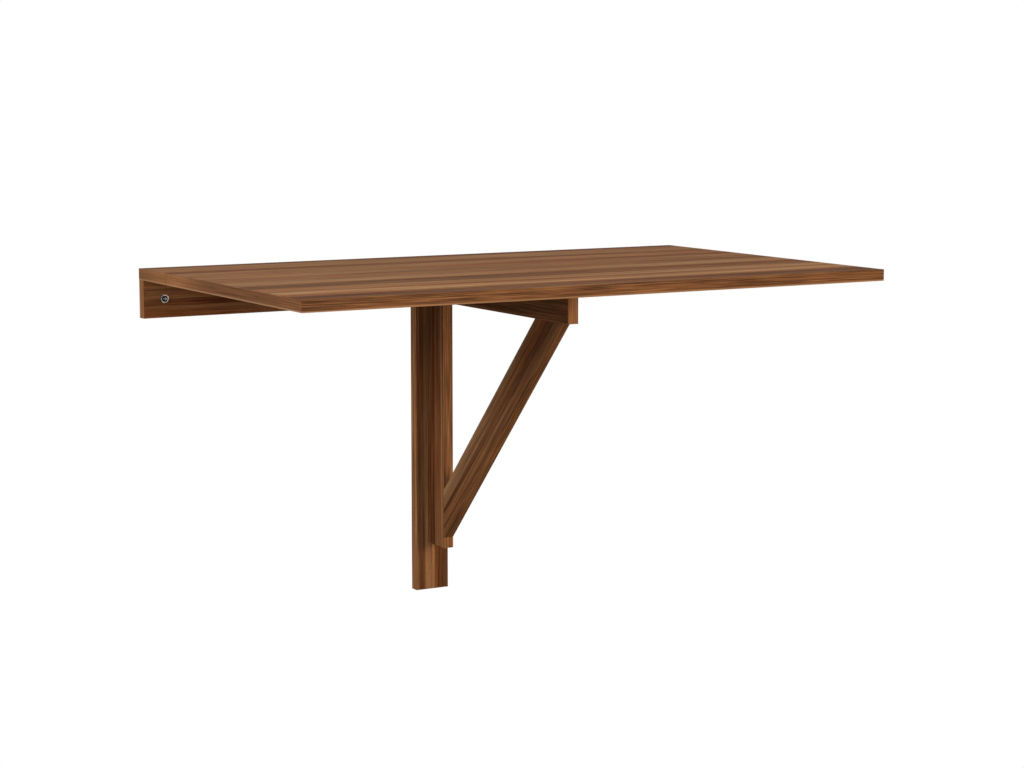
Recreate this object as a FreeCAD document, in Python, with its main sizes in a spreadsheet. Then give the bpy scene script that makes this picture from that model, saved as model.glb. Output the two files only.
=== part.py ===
import FreeCAD, Part
import Sketcher
import os
import re

# A wall-mounted drop-leaf table of 18 mm decor board, in millimetres.
#
# A rail and a post are screwed to the wall. The top is a narrow strip fixed on the rail and a wide leaf
# hinged to the strip. A bracket of three boards, hinged to the post, stands out under the leaf and swings
# to the right to lie flat in front of the rail and the post.
#
# X runs along the wall to the right, Y into the wall and Z up. The origin lies on the wall, at the middle
# of the rail's back, so the object stands at negative Y and only its wall screws reach past Y = 0.

SIZES = {
    # boards
    "board_thickness": 18.0,
    "top_length": 1000.0,
    "strip_depth": 110.0,
    "leaf_depth": 489.4,
    "leaf_gap": 0.6,
    "rail_height": 60.0,
    "post_width": 60.0,
    "post_length": 487.0,
    "post_offset": 10.0,
    # bracket
    "hinge_land": 20.0,
    "upright_width": 56.0,
    "upright_length": 413.0,
    "arm_height": 49.0,
    "arm_length": 452.5,
    "brace_width": 56.4,
    "brace_heel": 18.0,
    "brace_setback": 21.5,
    "glide_height": 5.0,
    "glide_radius": 8.0,
    "glide_round": 1.2,
    "glide_inset": 15.5,
    "glide_nail_radius": 1.0,
    "glide_nail_length": 12.0,
    # edging glued round the boards
    "band_thickness": 1.0,
    "band_round": 0.8,
    # dowels
    "dowel_radius": 4.0,
    "dowel_length": 36.0,
    "dowel_slack": 0.05,
    "dowel_bevel": 1.0,
    "strip_dowel_depth": 12.0,
    "strip_dowel_end_inset": 50.0,
    "strip_dowel_middle": 200.0,
    "strip_dowel_inner": 50.0,
    "post_dowel_spread": 36.0,
    "upright_dowel_edge": 14.0,
    "brace_dowel_first": 24.0,
    "brace_dowel_second": 54.0,
    "foot_dowel_extra": 10.0,
    "brace_dowel_bite": 16.0,
    # hinges between the strip and the leaf
    "leaf_hinge_length": 50.0,
    "leaf_hinge_reach": 20.0,
    "leaf_hinge_plate": 1.2,
    "leaf_hinge_knuckle": 2.25,
    "leaf_hinge_pin": 1.1,
    "leaf_hinge_screw_reach": 12.0,
    "leaf_hinge_screw_spread": 19.0,
    "leaf_hinge_end_inset": 120.0,
    "leaf_hinge_inner": 130.0,
    # hinges between the post and the bracket
    "swing_hinge_length": 60.0,
    "swing_hinge_reach": 16.0,
    "swing_hinge_plate": 1.5,
    "swing_hinge_knuckle": 3.0,
    "swing_hinge_pin": 1.5,
    "swing_hinge_screw_reach": 10.0,
    "swing_hinge_screw_spread": 22.0,
    "swing_hinge_end_inset": 51.0,
    # what every hinge shares
    "hinge_corner": 2.0,
    "knuckle_standoff": 0.1,
    "knuckle_gap": 0.2,
    "plate_gap": 0.3,
    "pin_clearance": 0.05,
    # steel angles under the strip
    "angle_leg": 22.0,
    "angle_width": 15.0,
    "angle_plate": 2.0,
    "angle_bend": 2.0,
    "angle_corner": 2.5,
    "angle_screw_reach": 14.0,
    "angle_end_inset": 200.0,
    "angle_inner": 100.0,
    # small countersunk screws
    "hinge_screw_radius": 1.5,
    "hinge_screw_head": 2.9,
    "hinge_screw_length": 13.0,
    "angle_screw_radius": 1.75,
    "angle_screw_head": 3.5,
    "angle_screw_length": 14.0,
    "screw_tip": 3.0,
    "screw_slack": 0.05,
    "recess_width": 0.7,
    "recess_depth": 0.8,
    # wall screws
    "wall_screw_radius": 2.5,
    "wall_shank_radius": 2.3,
    "wall_screw_reach": 42.0,
    "wall_screw_tip": 6.0,
    "wall_hole_radius": 2.7,
    "rail_screw_inset": 35.0,
    "washer_radius": 7.0,
    "washer_height": 1.2,
    "pan_radius": 4.6,
    "pan_height": 2.4,
    "pan_round": 1.2,
    "wall_recess_width": 1.3,
    "wall_recess_length": 5.0,
    "wall_recess_depth": 2.0,
    "post_screw_head": 5.0,
    "post_screw_head_height": 3.0,
    "post_screw_high": 60.0,
    "post_screw_low": 117.0,
}

doc = FreeCAD.newDocument("drop_leaf_table")
sheet = doc.addObject("Spreadsheet::Sheet", "Sizes")
for row, (alias, value) in enumerate(SIZES.items(), 1):
    sheet.set(f"A{row}", str(value))
    sheet.setAlias(f"A{row}", alias)
doc.recompute()


# ---- Places worked out from the sizes, each written as a formula for the sheet's values

RAIL_TOP = "(rail_height / 2)"
RAIL_BOTTOM = "(-rail_height / 2)"
BOARD_FRONT = "(-board_thickness)"
HALF_TOP = "(top_length / 2)"
SEAM = "(-strip_depth - leaf_gap / 2)"
LEAF_REAR = "(-strip_depth - leaf_gap)"
LEAF_FRONT = f"({LEAF_REAR} - leaf_depth)"
POST_LEFT = "(post_offset - post_width / 2)"
POST_RIGHT = "(post_offset + post_width / 2)"
POST_BOTTOM = f"({RAIL_BOTTOM} - post_length)"
BRACKET_RIGHT = f"({POST_RIGHT} - hinge_land)"
BRACKET_LEFT = f"({BRACKET_RIGHT} - board_thickness)"
BRACKET_MIDDLE = f"({BRACKET_RIGHT} - board_thickness / 2)"
ARM_TOP = f"({RAIL_TOP} - glide_height)"
ARM_BOTTOM = f"({ARM_TOP} - arm_height)"
ARM_FRONT = f"({BOARD_FRONT} - arm_length)"
UPRIGHT_BOTTOM = f"({ARM_BOTTOM} - upright_length)"
UPRIGHT_FRONT = f"({BOARD_FRONT} - upright_width)"
BRACE_FOOT = f"({UPRIGHT_BOTTOM} + brace_heel)"
BRACE_HEAD = f"({ARM_FRONT} + brace_setback)"
BRACE_RISE = f"({ARM_BOTTOM} - {BRACE_FOOT})"
BRACE_RUN = f"({UPRIGHT_FRONT} - {BRACE_HEAD})"
BRACE_SLOPE = f"sqrt({BRACE_RISE} ^ 2 + {BRACE_RUN} ^ 2)"
SWING_STANDOFF = "(swing_hinge_knuckle + knuckle_standoff)"
SWING_X = f"({BRACKET_RIGHT} + {SWING_STANDOFF})"
SWING_Y = f"({BOARD_FRONT} - {SWING_STANDOFF})"
LEAF_PIN_Z = f"({RAIL_TOP} - leaf_hinge_knuckle - knuckle_standoff)"

# Ways that a piece's own Z axis can point.
UP = FreeCAD.Rotation()
INTO_WALL = FreeCAD.Rotation(FreeCAD.Vector(1, 0, 0), -90)
LEFT = FreeCAD.Rotation(FreeCAD.Vector(0, 1, 0), -90)

ALIAS = re.compile("[a-z]+(?:_[a-z]+)+")

# A length far below any size here, for telling where an edge lies and which way it runs.
HAIR = 0.001


def bind(thing, **formulas):
    """Ties properties to formulas in the sheet's values; a double underscore stands for a dot."""
    for name, words in formulas.items():
        cells = ALIAS.sub(lambda word: f"Sizes.{word.group()}", words)
        thing.setExpression(name.replace("__", "."), cells)


def place(thing, x, y, z, turn=UP):
    """Puts a piece's own origin at a point, given as formulas, with its axes turned."""
    thing.Placement = FreeCAD.Placement(FreeCAD.Vector(), turn)
    bind(thing, Placement__Base__x=x, Placement__Base__y=y, Placement__Base__z=z)
    return thing


def named(kind, name):
    """A new object of the document under its own name."""
    thing = doc.addObject(kind, name)
    thing.Label = name
    return thing


def box(name, low, high):
    """A cuboid between two corners."""
    solid = named("Part::Box", name)
    bind(
        solid,
        Length=f"{high[0]} - {low[0]}",
        Width=f"{high[1]} - {low[1]}",
        Height=f"{high[2]} - {low[2]}",
    )
    return place(solid, *low)


def rods(name, radius, length, spots):
    """Equal cylinders, each starting at a spot and running along the way the spot points."""
    made = []
    for number, spot in enumerate(spots, 1):
        rod = named("Part::Cylinder", f"{name}_{number}")
        bind(rod, Radius=radius, Height=length)
        made.append(place(rod, *spot))
    return made


def group(name, pieces):
    """Separate solids that share one node."""
    together = named("Part::Compound", name)
    together.Links = pieces
    return together


def copies(name, piece, spots):
    """One node of equal pieces, one at each spot."""
    links = []
    for number, spot in enumerate(spots, 1):
        link = named("App::Link", f"{name}_{number}")
        link.LinkedObject = piece
        links.append(place(link, *spot))
    return group(name, links)


def drilled(name, solid, holes):
    """A piece with its holes cut out."""
    cut = named("Part::Cut", name)
    cut.Base = solid
    cut.Tool = group(f"{name}_holes", holes)
    return cut


# ---- Pieces that are made once and used in several places


def feature(body, kind, name, x="0", y="0", z="0", turn=UP, **formulas):
    """One additive or subtractive primitive of a body."""
    solid = body.newObject(f"PartDesign::{kind}", f"{body.Name}_{name}")
    bind(solid, **formulas)
    place(solid, x, y, z, turn)
    doc.recompute()
    return solid


def rounded(body, name, radius, chosen):
    """Rounds those edges of a body's last feature that the test chooses."""
    last = body.Tip
    edges = [f"Edge{n}" for n, edge in enumerate(last.Shape.Edges, 1) if chosen(edge)]
    fillet = body.newObject("PartDesign::Fillet", f"{body.Name}_{name}")
    fillet.Base = (last, edges)
    bind(fillet, Radius=radius)
    doc.recompute()


def runs_along(edge, axis):
    """Whether an edge is straight along one of the axes x, y and z."""
    return abs(getattr(edge.tangentAt(edge.FirstParameter), axis)) > 1 - HAIR


def cross_recess(body, top, depth, width, reach):
    """The cross-shaped recess in a screw's head, cut from its outer face towards the tip."""
    for name, along_x, along_y in (("slot_x", reach, width), ("slot_y", width, reach)):
        feature(
            body,
            "SubtractiveBox",
            name,
            x=f"-{along_x} / 2",
            y=f"-{along_y} / 2",
            z=top,
            Length=along_x,
            Width=along_y,
            Height=depth,
        )


def countersunk_screw(name, head, head_height, radius, length):
    """A flat-headed wood screw: its head's outer face is at 0 and its tip points along Z."""
    body = named("PartDesign::Body", name)
    feature(body, "AdditiveCone", "head", Radius1=head, Radius2=radius, Height=head_height)
    feature(
        body,
        "AdditiveCylinder",
        "shank",
        z=head_height,
        Radius=radius,
        Height=f"{length} - {head_height} - screw_tip",
    )
    feature(
        body,
        "AdditiveCone",
        "tip",
        z=f"{length} - screw_tip",
        Radius1=radius,
        Radius2=f"{radius} / 5",
        Height="screw_tip",
    )
    cross_recess(body, "0", "recess_depth", "recess_width", head)
    return body


def half_hinge(name, kind, knuckles):
    """Half of a butt hinge, its pin along Z and its plate out along X, lying on a board in front at +Y.

    knuckles says which of the five knuckles belong to this half. The plate's two free corners are
    rounded and its three screw holes are countersunk.
    """
    length, reach = f"{kind}_hinge_length", f"{kind}_hinge_reach"
    plate, knuckle = f"{kind}_hinge_plate", f"{kind}_hinge_knuckle"
    board = f"({knuckle} + knuckle_standoff)"
    body = named("PartDesign::Body", name)
    feature(
        body,
        "AdditiveBox",
        "plate",
        x=f"{knuckle} + plate_gap",
        y=f"{board} - {plate}",
        z=f"-{length} / 2",
        Length=f"{reach} - {knuckle} - plate_gap",
        Width=plate,
        Height=length,
    )
    middle = body.Shape.CenterOfGravity.x
    rounded(
        body,
        "plate_corners",
        "hinge_corner",
        lambda edge: runs_along(edge, "y") and edge.CenterOfMass.x > middle,
    )
    for number in knuckles:
        start = f"({length} * ({number} / 5 - 0.5) + knuckle_gap / 2)"
        span = f"({length} / 5 - knuckle_gap)"
        feature(
            body,
            "AdditiveBox",
            f"tongue_{number}",
            y=f"{board} - {plate}",
            z=start,
            Length=f"{knuckle} + plate_gap * 2",
            Width=plate,
            Height=span,
        )
        feature(body, "AdditiveCylinder", f"knuckle_{number}", z=start, Radius=knuckle, Height=span)
    feature(
        body,
        "SubtractiveCylinder",
        "bore",
        z=f"-{length}",
        Radius=f"{kind}_hinge_pin + pin_clearance",
        Height=f"{length} * 2",
    )
    for number in (-1, 0, 1):
        feature(
            body,
            "SubtractiveCone",
            f"screw_hole_{number + 2}",
            x=f"{kind}_hinge_screw_reach",
            y=f"{board} - {plate}",
            z=f"{kind}_hinge_screw_spread * {number}",
            turn=INTO_WALL,
            Radius1="hinge_screw_head + screw_slack",
            Radius2="hinge_screw_radius + screw_slack",
            Height=plate,
        )
    return body


# The hinge halves and their pins and screws.
OUTER_KNUCKLES = (0, 2, 4)
INNER_KNUCKLES = (1, 3)
leaf_hinge_outer_half = half_hinge("leaf_hinge_outer_half", "leaf", OUTER_KNUCKLES)
leaf_hinge_inner_half = half_hinge("leaf_hinge_inner_half", "leaf", INNER_KNUCKLES)
swing_hinge_outer_half = half_hinge("swing_hinge_outer_half", "swing", OUTER_KNUCKLES)
swing_hinge_inner_half = half_hinge("swing_hinge_inner_half", "swing", INNER_KNUCKLES)
leaf_hinge_screw = countersunk_screw(
    "leaf_hinge_screw", "hinge_screw_head", "leaf_hinge_plate", "hinge_screw_radius", "hinge_screw_length"
)
swing_hinge_screw = countersunk_screw(
    "swing_hinge_screw", "hinge_screw_head", "swing_hinge_plate", "hinge_screw_radius", "hinge_screw_length"
)
angle_screw = countersunk_screw(
    "angle_screw", "angle_screw_head", "angle_plate", "angle_screw_radius", "angle_screw_length"
)


# ---- Leaf hinges: four, their pins under the joint between the strip and the leaf

PIN_ALONG_X_TO_WALL = FreeCAD.Rotation(FreeCAD.Matrix(0, 0, 1, 0, 1, 0, 0, 0, 0, 1, 0, 0, 0, 0, 0, 1))
PIN_ALONG_X_TO_ROOM = FreeCAD.Rotation(FreeCAD.Matrix(0, 0, -1, 0, -1, 0, 0, 0, 0, 1, 0, 0, 0, 0, 0, 1))
LEAF_HINGE_X = (
    f"(-{HALF_TOP} + leaf_hinge_end_inset)",
    "(-leaf_hinge_inner)",
    "(leaf_hinge_inner)",
    f"({HALF_TOP} - leaf_hinge_end_inset)",
)
leaf_hinge_strip_plates = copies(
    "leaf_hinge_strip_plates",
    leaf_hinge_outer_half,
    [(x, SEAM, LEAF_PIN_Z, PIN_ALONG_X_TO_WALL) for x in LEAF_HINGE_X],
)
leaf_hinge_leaf_plates = copies(
    "leaf_hinge_leaf_plates",
    leaf_hinge_inner_half,
    [(x, SEAM, LEAF_PIN_Z, PIN_ALONG_X_TO_ROOM) for x in LEAF_HINGE_X],
)
ALONG_X = FreeCAD.Rotation(FreeCAD.Vector(0, 1, 0), 90)
leaf_hinge_pins = group(
    "leaf_hinge_pins",
    rods(
        "leaf_hinge_pin_rod",
        "leaf_hinge_pin",
        "leaf_hinge_length",
        [(f"{x} - leaf_hinge_length / 2", SEAM, LEAF_PIN_Z, ALONG_X) for x in LEAF_HINGE_X],
    ),
)
LEAF_SCREW_Z = f"({RAIL_TOP} - leaf_hinge_plate)"
strip_screw_spots, leaf_screw_spots = (
    [
        (f"{x} + leaf_hinge_screw_spread * {step}", f"{SEAM} {side} leaf_hinge_screw_reach", LEAF_SCREW_Z, UP)
        for x in LEAF_HINGE_X
        for step in (-1, 0, 1)
    ]
    for side in "+-"
)
leaf_hinge_screws = copies("leaf_hinge_screws", leaf_hinge_screw, strip_screw_spots + leaf_screw_spots)


# ---- Swing hinges: two, their pins in the corner between the post's front and the bracket's right side

PLATE_ON_UPRIGHT = FreeCAD.Rotation(FreeCAD.Matrix(0, -1, 0, 0, -1, 0, 0, 0, 0, 0, -1, 0, 0, 0, 0, 1))
SWING_HINGE_Z = (
    f"({ARM_BOTTOM} - swing_hinge_end_inset)",
    f"({UPRIGHT_BOTTOM} + swing_hinge_end_inset)",
)
swing_hinge_post_plates = copies(
    "swing_hinge_post_plates",
    swing_hinge_outer_half,
    [(SWING_X, SWING_Y, z, UP) for z in SWING_HINGE_Z],
)
swing_hinge_upright_plates = copies(
    "swing_hinge_upright_plates",
    swing_hinge_inner_half,
    [(SWING_X, SWING_Y, z, PLATE_ON_UPRIGHT) for z in SWING_HINGE_Z],
)
swing_hinge_pins = group(
    "swing_hinge_pins",
    rods(
        "swing_hinge_pin_rod",
        "swing_hinge_pin",
        "swing_hinge_length",
        [(SWING_X, SWING_Y, f"{z} - swing_hinge_length / 2", UP) for z in SWING_HINGE_Z],
    ),
)
SWING_SCREW_Z = [f"{z} + swing_hinge_screw_spread * {step}" for z in SWING_HINGE_Z for step in (-1, 0, 1)]
post_screw_spots = [
    (f"{SWING_X} + swing_hinge_screw_reach", f"{BOARD_FRONT} - swing_hinge_plate", z, INTO_WALL)
    for z in SWING_SCREW_Z
]
upright_screw_spots = [
    (f"{BRACKET_RIGHT} + swing_hinge_plate", f"{SWING_Y} - swing_hinge_screw_reach", z, LEFT)
    for z in SWING_SCREW_Z
]
swing_hinge_post_screws = copies("swing_hinge_post_screws", swing_hinge_screw, post_screw_spots)
swing_hinge_upright_screws = copies("swing_hinge_upright_screws", swing_hinge_screw, upright_screw_spots)


# ---- Steel angles: four, bent to sit in the corner between the rail's front and the strip's underside

angle = named("PartDesign::Body", "angle")
feature(
    angle,
    "AdditiveBox",
    "upright_leg",
    x="-angle_width / 2",
    y="-angle_plate",
    z="-angle_leg",
    Length="angle_width",
    Width="angle_plate",
    Height="angle_leg",
)
feature(
    angle,
    "AdditiveBox",
    "level_leg",
    x="-angle_width / 2",
    y="-angle_leg",
    z="-angle_plate",
    Length="angle_width",
    Width="angle_leg",
    Height="angle_plate",
)
rounded(angle, "outer_bend", "angle_bend + angle_plate", lambda edge: edge.CenterOfMass.Length < HAIR)
rounded(
    angle,
    "inner_bend",
    "angle_bend",
    lambda edge: runs_along(edge, "x") and abs(edge.CenterOfMass.y - edge.CenterOfMass.z) < HAIR,
)
leg_end = angle.Shape.BoundBox.ZMin + HAIR
rounded(
    angle,
    "leg_corners",
    "angle_corner",
    lambda edge: not runs_along(edge, "x") and min(edge.CenterOfMass.y, edge.CenterOfMass.z) < leg_end,
)
for leg, y, z, turn in (
    ("upright_hole", "-angle_plate", "-angle_screw_reach", INTO_WALL),
    ("level_hole", "-angle_screw_reach", "-angle_plate", UP),
):
    feature(
        angle,
        "SubtractiveCone",
        leg,
        y=y,
        z=z,
        turn=turn,
        Radius1="angle_screw_head + screw_slack",
        Radius2="angle_screw_radius + screw_slack",
        Height="angle_plate",
    )
ANGLE_X = (
    f"(-{HALF_TOP} + angle_end_inset)",
    "(-angle_inner)",
    "(angle_inner)",
    f"({HALF_TOP} - angle_end_inset)",
)
angle_brackets = copies("angle_brackets", angle, [(x, BOARD_FRONT, RAIL_TOP, UP) for x in ANGLE_X])
angle_rail_spots = [
    (x, f"{BOARD_FRONT} - angle_plate", f"{RAIL_TOP} - angle_screw_reach", INTO_WALL) for x in ANGLE_X
]
angle_strip_spots = [
    (x, f"{BOARD_FRONT} - angle_screw_reach", f"{RAIL_TOP} - angle_plate", UP) for x in ANGLE_X
]
angle_bracket_screws = copies("angle_bracket_screws", angle_screw, angle_rail_spots + angle_strip_spots)


# ---- Wall screws: washer-headed ones at the rail's ends, countersunk ones in the post


def wall_shank(body, start):
    """The plain shank in the board and the threaded length behind it, down to the tip."""
    feature(
        body,
        "AdditiveCylinder",
        "shank",
        z=start,
        Radius="wall_shank_radius",
        Height=f"board_thickness - {start}",
    )
    feature(
        body,
        "AdditiveCylinder",
        "thread",
        z="board_thickness",
        Radius="wall_screw_radius",
        Height="wall_screw_reach - wall_screw_tip",
    )
    feature(
        body,
        "AdditiveCone",
        "tip",
        z="board_thickness + wall_screw_reach - wall_screw_tip",
        Radius1="wall_screw_radius",
        Radius2="wall_screw_radius / 5",
        Height="wall_screw_tip",
    )


rail_wall_screw = named("PartDesign::Body", "rail_wall_screw")
feature(
    rail_wall_screw,
    "AdditiveCylinder",
    "washer",
    z="-washer_height",
    Radius="washer_radius",
    Height="washer_height",
)
feature(
    rail_wall_screw,
    "AdditiveCylinder",
    "pan",
    z="-washer_height - pan_height",
    Radius="pan_radius",
    Height="pan_height",
)
pan_face = rail_wall_screw.Shape.BoundBox.ZMin + HAIR
rounded(rail_wall_screw, "pan_rim", "pan_round", lambda edge: edge.CenterOfMass.z < pan_face)
wall_shank(rail_wall_screw, "0")
cross_recess(
    rail_wall_screw,
    "-washer_height - pan_height",
    "wall_recess_depth",
    "wall_recess_width",
    "wall_recess_length",
)

post_wall_screw = named("PartDesign::Body", "post_wall_screw")
feature(
    post_wall_screw,
    "AdditiveCone",
    "head",
    Radius1="post_screw_head",
    Radius2="wall_shank_radius",
    Height="post_screw_head_height",
)
wall_shank(post_wall_screw, "post_screw_head_height")
cross_recess(post_wall_screw, "0", "wall_recess_depth", "wall_recess_width", "wall_recess_length")

rail_screw_spots = [
    (x, BOARD_FRONT, "0", INTO_WALL)
    for x in (f"(-{HALF_TOP} + rail_screw_inset)", f"({HALF_TOP} - rail_screw_inset)")
]
post_wall_spots = [
    (BRACKET_MIDDLE, BOARD_FRONT, z, INTO_WALL)
    for z in (f"({RAIL_BOTTOM} - post_screw_high)", f"({POST_BOTTOM} + post_screw_low)")
]
rail_wall_screws = copies("rail_wall_screws", rail_wall_screw, rail_screw_spots)
post_wall_screws = copies("post_wall_screws", post_wall_screw, post_wall_spots)


def countersinks(name, spots):
    """The conical seats of the post's wall screws."""
    made = []
    for number, spot in enumerate(spots, 1):
        seat = named("Part::Cone", f"{name}_{number}")
        bind(
            seat,
            Radius1="post_screw_head + screw_slack",
            Radius2="wall_shank_radius + screw_slack",
            Height="post_screw_head_height",
        )
        made.append(place(seat, *spot))
    return made


def screw_holes(name, radius, length, spots):
    """Pilot holes for a group of small screws, from their heads to just past their tips."""
    return rods(name, f"{radius} + screw_slack", f"{length} + screw_slack", spots)


# ---- Dowels: beech pegs, half in each of the two boards that they join


def dowels(name, spots, start="-dowel_length / 2"):
    """A node of dowels and the holes they stand in; start is where each begins along its axis."""
    peg = named("PartDesign::Body", f"{name}_peg")
    feature(
        peg,
        "AdditiveCylinder",
        "middle",
        z=f"{start} + dowel_bevel",
        Radius="dowel_radius",
        Height="dowel_length - dowel_bevel * 2",
    )
    for end, z, near, far in (
        ("lower_end", start, "dowel_radius - dowel_bevel", "dowel_radius"),
        ("upper_end", f"{start} + dowel_length - dowel_bevel", "dowel_radius", "dowel_radius - dowel_bevel"),
    ):
        feature(peg, "AdditiveCone", end, z=z, Radius1=near, Radius2=far, Height="dowel_bevel")
    node = copies(name, peg, spots)
    holes = []
    for number, (x, y, z, turn) in enumerate(spots, 1):
        hole = named("Part::Cylinder", f"{name}_hole_{number}")
        bind(hole, Radius="dowel_radius + dowel_slack", Height="dowel_length + dowel_slack * 2")
        depth = f"({start} - dowel_slack)"
        if turn is INTO_WALL:
            holes.append(place(hole, x, f"{y} + {depth}", z, turn))
        else:
            holes.append(place(hole, x, y, f"{z} + {depth}", turn))
    return node, holes


BOARD_MIDDLE = "(-board_thickness / 2)"
post_dowels, post_dowel_holes = dowels(
    "post_dowels",
    [(f"post_offset + post_dowel_spread / 2 * {side}", BOARD_MIDDLE, RAIL_BOTTOM, UP) for side in (-1, 1)],
)
strip_dowels, strip_dowel_holes = dowels(
    "strip_dowels",
    [
        (f"{side} * {x}", BOARD_MIDDLE, RAIL_TOP, UP)
        for x in (f"({HALF_TOP} - strip_dowel_end_inset)", "strip_dowel_middle", "strip_dowel_inner")
        for side in (-1, 1)
    ],
    start="(strip_dowel_depth - dowel_length)",
)
arm_dowels, arm_dowel_holes = dowels(
    "arm_dowels",
    [
        (BRACKET_MIDDLE, y, ARM_BOTTOM, UP)
        for y in (f"{BOARD_FRONT} - upright_dowel_edge", f"{UPRIGHT_FRONT} + upright_dowel_edge")
    ],
)
brace_head_dowels, brace_head_holes = dowels(
    "brace_head_dowels",
    [
        (BRACKET_MIDDLE, f"{BRACE_HEAD} + {step}", ARM_BOTTOM, UP)
        for step in ("brace_dowel_first", "brace_dowel_second")
    ],
    start="(-brace_dowel_bite)",
)
brace_foot_dowels, brace_foot_holes = dowels(
    "brace_foot_dowels",
    [
        (BRACKET_MIDDLE, UPRIGHT_FRONT, f"{BRACE_FOOT} + {step} + foot_dowel_extra", INTO_WALL)
        for step in ("brace_dowel_first", "brace_dowel_second")
    ],
    start="(-brace_dowel_bite)",
)


# ---- Edging: strips of ABS round the boards, their outer edges eased


def band(name, low, high, outward, holes=()):
    """A straight strip between two corners, with the two long edges of its outer side rounded.

    outward is the way that the outer side faces, as one of +x, -x, +y, -y, +z and -z.
    """
    body = named("PartDesign::Body", name if not holes else f"{name}_plain")
    solid = feature(
        body,
        "AdditiveBox",
        "strip",
        x=low[0],
        y=low[1],
        z=low[2],
        Length=f"{high[0]} - {low[0]}",
        Width=f"{high[1]} - {low[1]}",
        Height=f"{high[2]} - {low[2]}",
    )
    long = max(edge.Length for edge in solid.Shape.Edges) - HAIR
    sign = 1 if outward[0] == "+" else -1
    middle = sign * getattr(solid.Shape.CenterOfGravity, outward[1])
    rounded(
        body,
        "round",
        "band_round",
        lambda edge: edge.Length > long and sign * getattr(edge.CenterOfMass, outward[1]) > middle,
    )
    return drilled(name, body, list(holes)) if holes else body


TOP_LOW, TOP_HIGH = RAIL_TOP, f"({RAIL_TOP} + board_thickness)"
ENDS = (
    ("left", "-x", f"(-{HALF_TOP})", f"(-{HALF_TOP} + band_thickness)"),
    ("right", "+x", f"({HALF_TOP} - band_thickness)", HALF_TOP),
)

rail_edge_bands = group(
    "rail_edge_bands",
    [
        band(
            "rail_bottom_band",
            (f"(-{HALF_TOP})", BOARD_FRONT, RAIL_BOTTOM),
            (HALF_TOP, "0", f"({RAIL_BOTTOM} + band_thickness)"),
            "-z",
            post_dowel_holes,
        )
    ]
    + [
        band(
            f"rail_{end}_band",
            (near, BOARD_FRONT, f"({RAIL_BOTTOM} + band_thickness)"),
            (far, "0", RAIL_TOP),
            outward,
        )
        for end, outward, near, far in ENDS
    ],
)
strip_edge_bands = group(
    "strip_edge_bands",
    [
        band(
            "strip_front_band",
            (f"(-{HALF_TOP})", "(-strip_depth)", TOP_LOW),
            (HALF_TOP, "(-strip_depth + band_thickness)", TOP_HIGH),
            "-y",
        )
    ]
    + [
        band(
            f"strip_{end}_band",
            (near, "(-strip_depth + band_thickness)", TOP_LOW),
            (far, "0", TOP_HIGH),
            outward,
        )
        for end, outward, near, far in ENDS
    ],
)
leaf_edge_bands = group(
    "leaf_edge_bands",
    [
        band(
            "leaf_front_band",
            (f"(-{HALF_TOP})", LEAF_FRONT, TOP_LOW),
            (HALF_TOP, f"({LEAF_FRONT} + band_thickness)", TOP_HIGH),
            "-y",
        ),
        band(
            "leaf_rear_band",
            (f"(-{HALF_TOP})", f"({LEAF_REAR} - band_thickness)", TOP_LOW),
            (HALF_TOP, LEAF_REAR, TOP_HIGH),
            "+y",
        ),
    ]
    + [
        band(
            f"leaf_{end}_band",
            (near, f"({LEAF_FRONT} + band_thickness)", TOP_LOW),
            (far, f"({LEAF_REAR} - band_thickness)", TOP_HIGH),
            outward,
        )
        for end, outward, near, far in ENDS
    ],
)
post_edge_bands = group(
    "post_edge_bands",
    [
        band(
            "post_left_band",
            (POST_LEFT, BOARD_FRONT, POST_BOTTOM),
            (f"({POST_LEFT} + band_thickness)", "0", RAIL_BOTTOM),
            "-x",
        ),
        band(
            "post_right_band",
            (f"({POST_RIGHT} - band_thickness)", BOARD_FRONT, POST_BOTTOM),
            (POST_RIGHT, "0", RAIL_BOTTOM),
            "+x",
        ),
        band(
            "post_bottom_band",
            (f"({POST_LEFT} + band_thickness)", BOARD_FRONT, POST_BOTTOM),
            (f"({POST_RIGHT} - band_thickness)", "0", f"({POST_BOTTOM} + band_thickness)"),
            "-z",
        ),
    ],
)
upright_edge_bands = group(
    "upright_edge_bands",
    [
        band(
            "upright_rear_band",
            (BRACKET_LEFT, f"({BOARD_FRONT} - band_thickness)", UPRIGHT_BOTTOM),
            (BRACKET_RIGHT, BOARD_FRONT, ARM_BOTTOM),
            "+y",
        ),
        band(
            "upright_front_band",
            (BRACKET_LEFT, UPRIGHT_FRONT, UPRIGHT_BOTTOM),
            (BRACKET_RIGHT, f"({UPRIGHT_FRONT} + band_thickness)", ARM_BOTTOM),
            "-y",
            brace_foot_holes,
        ),
        band(
            "upright_bottom_band",
            (BRACKET_LEFT, f"({UPRIGHT_FRONT} + band_thickness)", UPRIGHT_BOTTOM),
            (BRACKET_RIGHT, f"({BOARD_FRONT} - band_thickness)", f"({UPRIGHT_BOTTOM} + band_thickness)"),
            "-z",
        ),
    ],
)

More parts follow.
